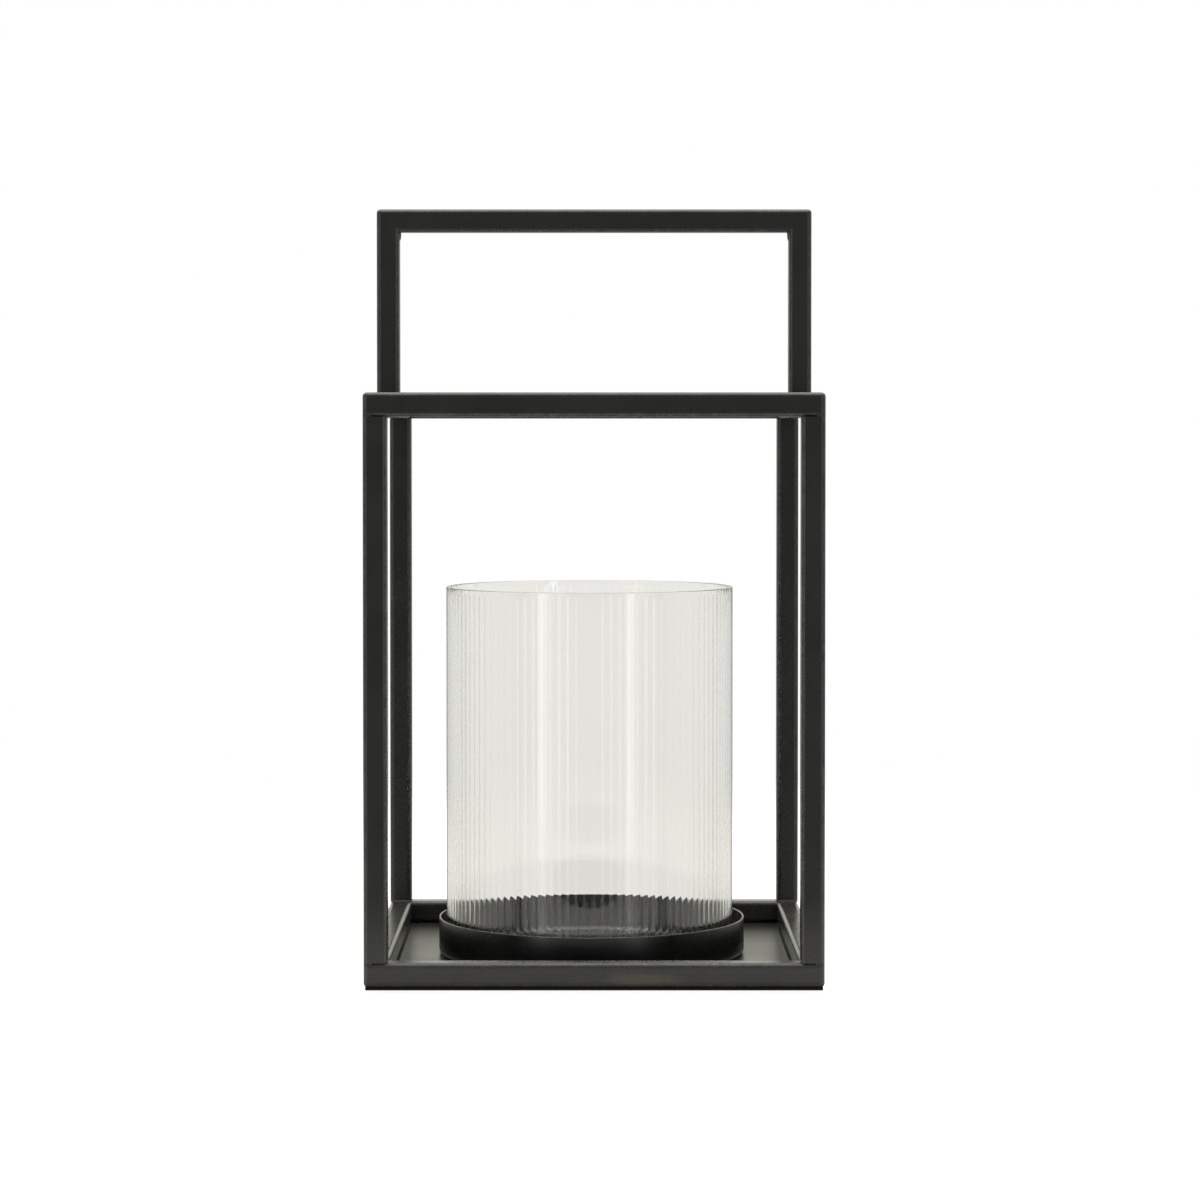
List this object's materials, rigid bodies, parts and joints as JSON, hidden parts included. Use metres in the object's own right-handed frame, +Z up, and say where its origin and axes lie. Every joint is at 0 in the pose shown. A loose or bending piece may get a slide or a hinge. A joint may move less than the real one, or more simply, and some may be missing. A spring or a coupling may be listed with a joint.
{
  "type": "hurricane candle lantern",
  "caption": "Open square-tube steel lantern frame with a fixed hoop handle, a base plate with a round dish and a loose ribbed glass cylinder for a candle.",
  "frame": {"origin": "middle of the underside of the base plate, on the rest plane", "axes": "+Z up; +X to the lantern's right as seen from the front; the handle hoop lies in the XZ plane; the front faces -Y"},
  "size_m": [0.235, 0.235, 0.4045],
  "materials": {
    "black_powder_coat": "satin black powder coat on welded steel tube",
    "satin_black_plate": "smooth satin black coat on sheet steel",
    "matt_black_dish": "matt black coat on a spun sheet steel dish",
    "painted_weld": "weld metal under the frame's black coat",
    "ribbed_glass": "clear glass, smooth outside, with fine upright ribs inside and eased ends"
  },
  "bodies": {
    "frame": {"base_plate": "satin_black_plate", "bottom_rail_front": "black_powder_coat", "bottom_rail_right": "black_powder_coat", "bottom_rail_back": "black_powder_coat", "bottom_rail_left": "black_powder_coat", "top_rail_front": "black_powder_coat", "top_rail_right": "black_powder_coat", "top_rail_back": "black_powder_coat", "top_rail_left": "black_powder_coat", "post_front_left": "black_powder_coat", "post_front_right": "black_powder_coat", "post_back_right": "black_powder_coat", "post_back_left": "black_powder_coat", "handle_upright_left": "black_powder_coat", "handle_upright_right": "black_powder_coat", "handle_top_bar": "black_powder_coat", "glass_cup": "matt_black_dish", "post_foot_welds": "painted_weld", "post_head_welds": "painted_weld", "handle_foot_welds": "painted_weld", "handle_mitre_welds": "painted_weld", "plate_tack_welds": "painted_weld"},
    "glass": {"glass_cylinder": "ribbed_glass"}
  },
  "joints": [
    {"name": "glass_lift", "type": "slide", "parent": "frame", "child": "glass", "axis": [0, 0, 1], "range_m": [0, 0.19]}
  ]
}
